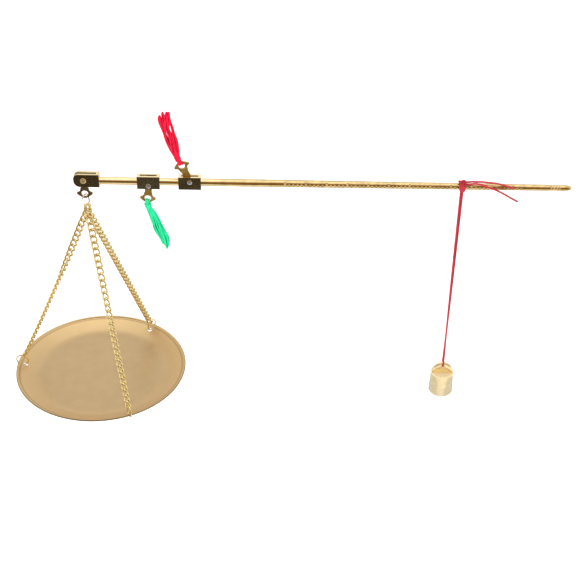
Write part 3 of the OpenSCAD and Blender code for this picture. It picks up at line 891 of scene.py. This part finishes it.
def weight():
    """Turned weight: a slightly tapered body with a lip round a sunk top, and an ear across it."""
    low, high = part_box("weight")
    centre = (low + high) / 2
    foot_r = (high.x - low.x) / 2
    top_r, lip, recess = 8.05 * MM, 0.8 * MM, 0.8 * MM
    top = high.z - 8 * MM - low.z
    inner_r = top_r - lip
    profile = [(0, 0), (0, foot_r - 0.5 * MM), (0.15 * MM, foot_r - 0.15 * MM), (0.5 * MM, foot_r),
               (top - 2 * MM, top_r), (top - 0.6 * MM, top_r + 0.2 * MM), (top - 0.15 * MM, top_r + 0.15 * MM),
               (top, top_r), (top, inner_r + 0.15 * MM), (top - 0.15 * MM, inner_r), (top - recess, inner_r),
               (top - recess, 0)]
    body = lathe(profile, Vector((centre.x, centre.y, low.z)), (0, 0, 1), 128)
    ear = weight_ear(Vector((centre.x, centre.y, high.z - 2.3 * MM)))
    piece("turned_weight", [body, ear], "sliding_weight", WEIGHT_GOLD, "weight_gold", "weight")


# ------------------------------------------------------------------ studio

def studio_light():
    """Surroundings of a white tent with a dark opening at the front. The camera sees plain white."""
    world = bpy.data.worlds.new("studio")
    bpy.context.scene.world = world
    world.use_nodes = True
    tree = world.node_tree
    toward = add(tree, "TexCoord").outputs["Generated"]
    axes = add(tree, "SeparateXYZ", Vector=toward).outputs
    level = add(tree, "VectorMath", (toward, (1, 1, 0)), operation="MULTIPLY").outputs["Vector"]
    flat = add(tree, "VectorMath", (level,), operation="LENGTH").outputs["Value"]
    ahead = add(tree, "Math", (axes["Y"], flat), operation="DIVIDE").outputs[0]
    front = ramp(tree, add(tree, "Math", (ahead, -1), operation="MULTIPLY").outputs[0], [(0.66, 0), (0.8, 1)])
    rise = add(tree, "Math", (axes["Z"],), operation="ARCSINE").outputs[0]
    height = add(tree, "MapRange", Value=rise, From_Min=-math.pi / 2, From_Max=math.pi / 2).outputs["Result"]

    def at(degrees):
        return (degrees + 90) / 180

    def band(colour):
        """Pale below, nearly black at the height that the blocks' faces mirror, then brown, then pale."""
        return ramp(tree, height, [
            (at(-90), (0.8, 0.8, 0.8)), (at(-37), (0.95, 0.95, 0.95)), (at(-33.5), (0.04, 0.038, 0.033)),
            (at(-27), (0.05, 0.042, 0.03)), (at(-21), colour), (at(36), colour),
            (at(46), (1.1, 1.1, 1.1)), (at(90), (1.6, 1.6, 1.6))], colours=True)

    rightward = add(tree, "MapRange", Value=axes["X"], From_Min=-0.2, From_Max=0.05).outputs["Result"]
    opening = add(tree, "Mix", data_type="RGBA")
    tree.links.new(rightward, opening.inputs[0])
    tree.links.new(band((0.16, 0.095, 0.03)), opening.inputs[6])
    tree.links.new(band((0.34, 0.2, 0.06)), opening.inputs[7])
    tent = ramp(tree, height, [(at(-90), 0.75), (at(-8), 0.85), (at(30), 1.0), (at(45), 0.95), (at(49), 0.55),
                               (at(53), 1.0), (at(70), 1.4), (at(90), 1.6)])
    seen = add(tree, "Mix", data_type="RGBA")
    tree.links.new(front, seen.inputs[0])
    tree.links.new(tent, seen.inputs[6])
    tree.links.new(opening.outputs[2], seen.inputs[7])
    ray = add(tree, "LightPath").outputs
    lit = add(tree, "Background", Color=seen.outputs[2], Strength=1.0).outputs[0]
    plain = add(tree, "Background", Color=(1, 1, 1, 1), Strength=1.0).outputs[0]
    mix = add(tree, "MixShader", (ray["Is Glossy Ray"], plain, lit)).outputs[0]
    tree.links.new(mix, tree.nodes["World Output"].inputs["Surface"])


def soft_box(name, place, size, energy):
    """A large soft lamp aimed at the middle of the object."""
    data = bpy.data.lights.new(name, "AREA")
    data.shape = "DISK"
    data.size = size
    data.energy = energy
    lamp = bpy.data.objects.new(name, data)
    bpy.context.scene.collection.objects.link(lamp)
    lamp.location = place
    aim = (CAD_BOX[0] + CAD_BOX[1]) / 2 - Vector(place)
    lamp.rotation_euler = aim.to_track_quat("-Z", "Y").to_euler()
    lamp.visible_glossy = False


def reflected_card(name, corners, glow):
    """A sheet that only reflections see. Its glow is given as (place along X from 0 to 1, colour) stops."""
    material, tree, shader = new_material(name)
    along = add(tree, "SeparateXYZ", Vector=add(tree, "TexCoord").outputs["Generated"]).outputs["X"]
    tree.links.new(ramp(tree, along, glow, colours=True), shader.inputs["Emission Color"])
    shader.inputs["Emission Strength"].default_value = 1.0
    shader.inputs["Base Color"].default_value = (0, 0, 0, 1)
    mesh = bpy.data.meshes.new(name)
    mesh.from_pydata(corners, [], [(0, 1, 2, 3)])
    mesh.materials.append(material)
    card = bpy.data.objects.new(name, mesh)
    bpy.context.scene.collection.objects.link(card)
    card.visible_camera = card.visible_diffuse = card.visible_shadow = False


def bright_card():
    """Brightens the weight, which mirrors what lies below and before it."""
    z, y0, y1 = CAD_BOX[0].z - 0.18, -0.45, -0.12
    x0, x1 = CAD_BOX[0].x, CAD_BOX[1].x + 0.2
    reflected_card("bright_card", [(x0, y0, z), (x1, y0, z), (x1, y1, z), (x0, y1, z)],
                   [(0.2, (1, 1, 1)), (0.8, (1.15, 1.12, 1.05))])


def pale_floor():
    """A wide pale floor well below the object, which hangs from the hand in use."""
    material, tree, shader = new_material("floor")
    mottle = add(tree, "TexNoise", Scale=3.0, Detail=3.0, Vector=add(tree, "TexCoord").outputs["Object"])
    tone = ramp(tree, mottle.outputs["Fac"], [(0.3, 0.93), (0.7, 0.96)])
    tree.links.new(tone, shader.inputs["Base Color"])
    shader.inputs["Roughness"].default_value = 0.9
    shader.inputs["Emission Color"].default_value = (1, 1, 1, 1)
    shader.inputs["Emission Strength"].default_value = 0.35
    bm = bmesh.new()
    bmesh.ops.create_circle(bm, cap_ends=True, segments=96, radius=12)
    mesh = bpy.data.meshes.new("floor")
    bm.to_mesh(mesh)
    bm.free()
    floor = bpy.data.objects.new("floor", mesh)
    floor.location.z = CAD_BOX[0].z - 0.45
    mesh.materials.append(material)
    bpy.context.scene.collection.objects.link(floor)
    floor.visible_glossy = False


camera()
soft_parts()
beam_parts()
pan_set()
weight()
studio_light()
soft_box("top_light", (0.1, -0.2, 1.1), 0.9, 6)
soft_box("front_light", (-0.5, -1.0, 0.5), 0.8, 5)
pale_floor()
bright_card()
bpy.context.scene.view_settings.view_transform = "Standard"
